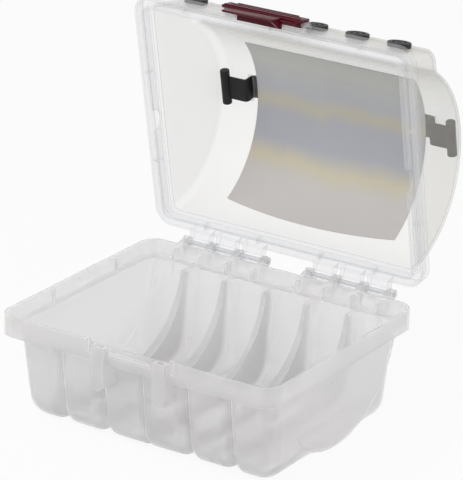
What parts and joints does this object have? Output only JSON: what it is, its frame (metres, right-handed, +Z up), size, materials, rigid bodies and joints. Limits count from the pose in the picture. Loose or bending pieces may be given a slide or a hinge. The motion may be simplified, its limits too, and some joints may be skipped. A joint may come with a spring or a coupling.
{
  "type": "line spool box",
  "caption": "Clear hinged storage box for fishing line spools, with ribbed bays, rubber line outlets along a domed lid, a carry strap and a front latch.",
  "frame": {"origin": "on the plane the box stands on, below the middle of the opened box", "axes": "+X along the hinge to the right as seen from the latch, +Y to the back where the hinge is, +Z up; the lid is stored open on its stop"},
  "size_m": [0.289, 0.3444, 0.3585],
  "materials": {
    "clear_base": "milky clear polypropylene",
    "clear_lid": "clear polypropylene",
    "clear_pin": "clear plastic rod",
    "port_rubber": "satin black rubber",
    "label": "printed sheet in plain bands",
    "strap": "satin black flexible plastic",
    "latch_plastic": "gloss maroon plastic"
  },
  "bodies": {
    "base": {"base_tub": "clear_base", "hinge_pin_left": "clear_pin", "hinge_pin_right": "clear_pin"},
    "lid": {"lid_shell": "clear_lid", "line_port_1": "port_rubber", "line_port_2": "port_rubber", "line_port_3": "port_rubber", "line_port_4": "port_rubber", "line_port_5": "port_rubber", "line_port_6": "port_rubber", "label_sheet": "label", "carry_strap": "strap", "latch_pin": "clear_pin"},
    "latch": {"latch": "latch_plastic"}
  },
  "joints": [
    {"name": "lid_hinge", "type": "hinge", "parent": "base", "child": "lid", "pos_m": [0, 0.08058, 0.1009], "axis": [1, 0, 0], "range_deg": [0, 79.4]},
    {"name": "latch_hinge", "type": "hinge", "parent": "lid", "child": "latch", "pos_m": [0, 0.03983, 0.34965], "axis": [1, 0, 0], "range_deg": [-75, 15]}
  ]
}
